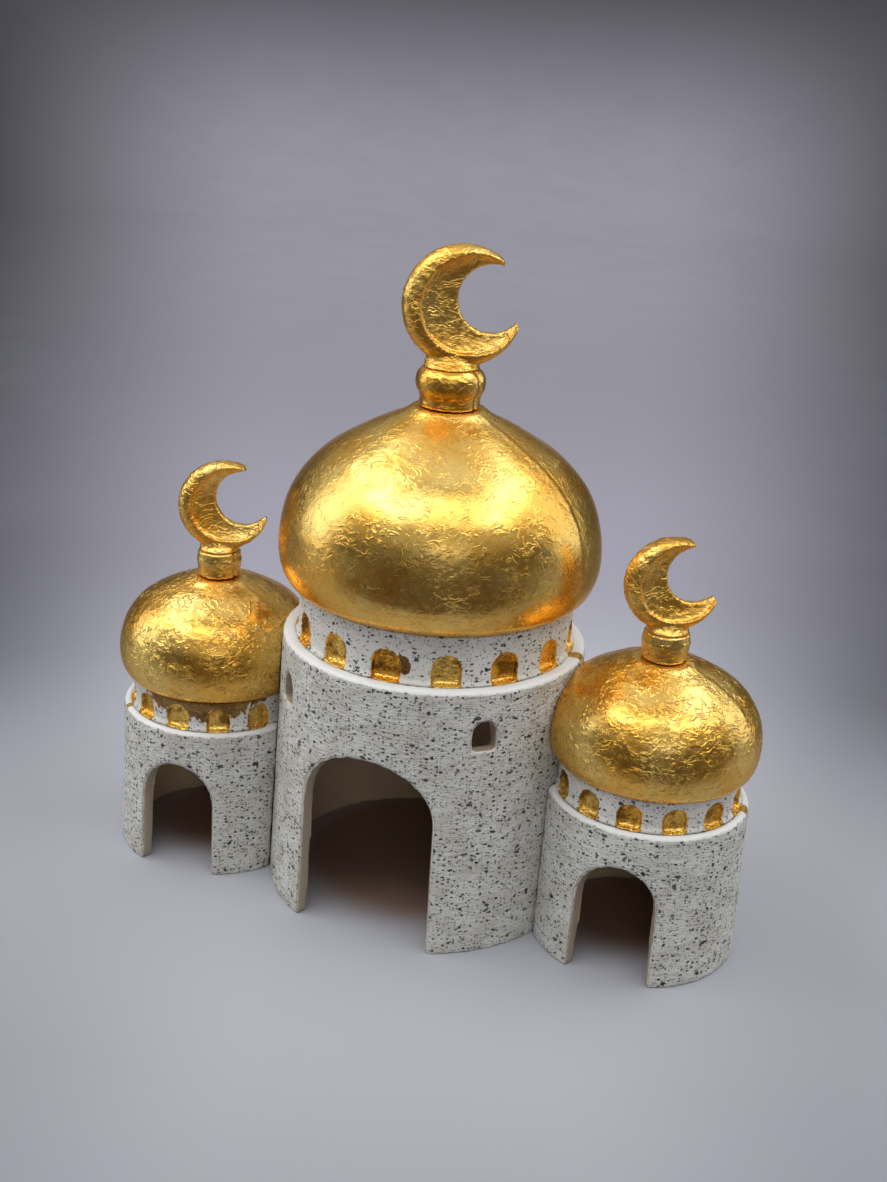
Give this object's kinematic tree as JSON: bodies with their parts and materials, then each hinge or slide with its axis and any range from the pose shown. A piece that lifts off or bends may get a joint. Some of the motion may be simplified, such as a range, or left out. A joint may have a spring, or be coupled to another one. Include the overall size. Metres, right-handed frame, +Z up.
{
  "type": "miniature landmark model",
  "caption": "Free-standing souvenir of three joined round towers with arched doorways, niched drums, gilded onion domes and crescent finials.",
  "frame": {"origin": "on the main tower's axis, on the plane that the three towers stand on", "axes": "+Z up; -Y is the front, the side that the doorways face; +X runs along the row of towers, to the viewer's right"},
  "size_m": [0.158, 0.0745, 0.1539],
  "materials": {
    "speckled_stone": "matt off-white cast stone with dark specks",
    "niched_stone": "satin off-white cast stone with sparse specks and gilded niches",
    "gilded_dome": "cast stone under rough bright gold paint",
    "gilded_finial": "cast stone under bright gold paint, worn on its edges"
  },
  "bodies": {
    "root": {"main_tower_shell": "speckled_stone", "main_drum": "niched_stone", "main_dome": "gilded_dome", "main_finial_collar": "gilded_finial", "main_crescent": "gilded_finial", "left_tower_shell": "speckled_stone", "left_drum": "niched_stone", "left_dome": "gilded_dome", "left_finial_collar": "gilded_finial", "left_crescent": "gilded_finial", "right_tower_shell": "speckled_stone", "right_drum": "niched_stone", "right_dome": "gilded_dome", "right_finial_collar": "gilded_finial", "right_crescent": "gilded_finial"}
  },
  "joints": []
}
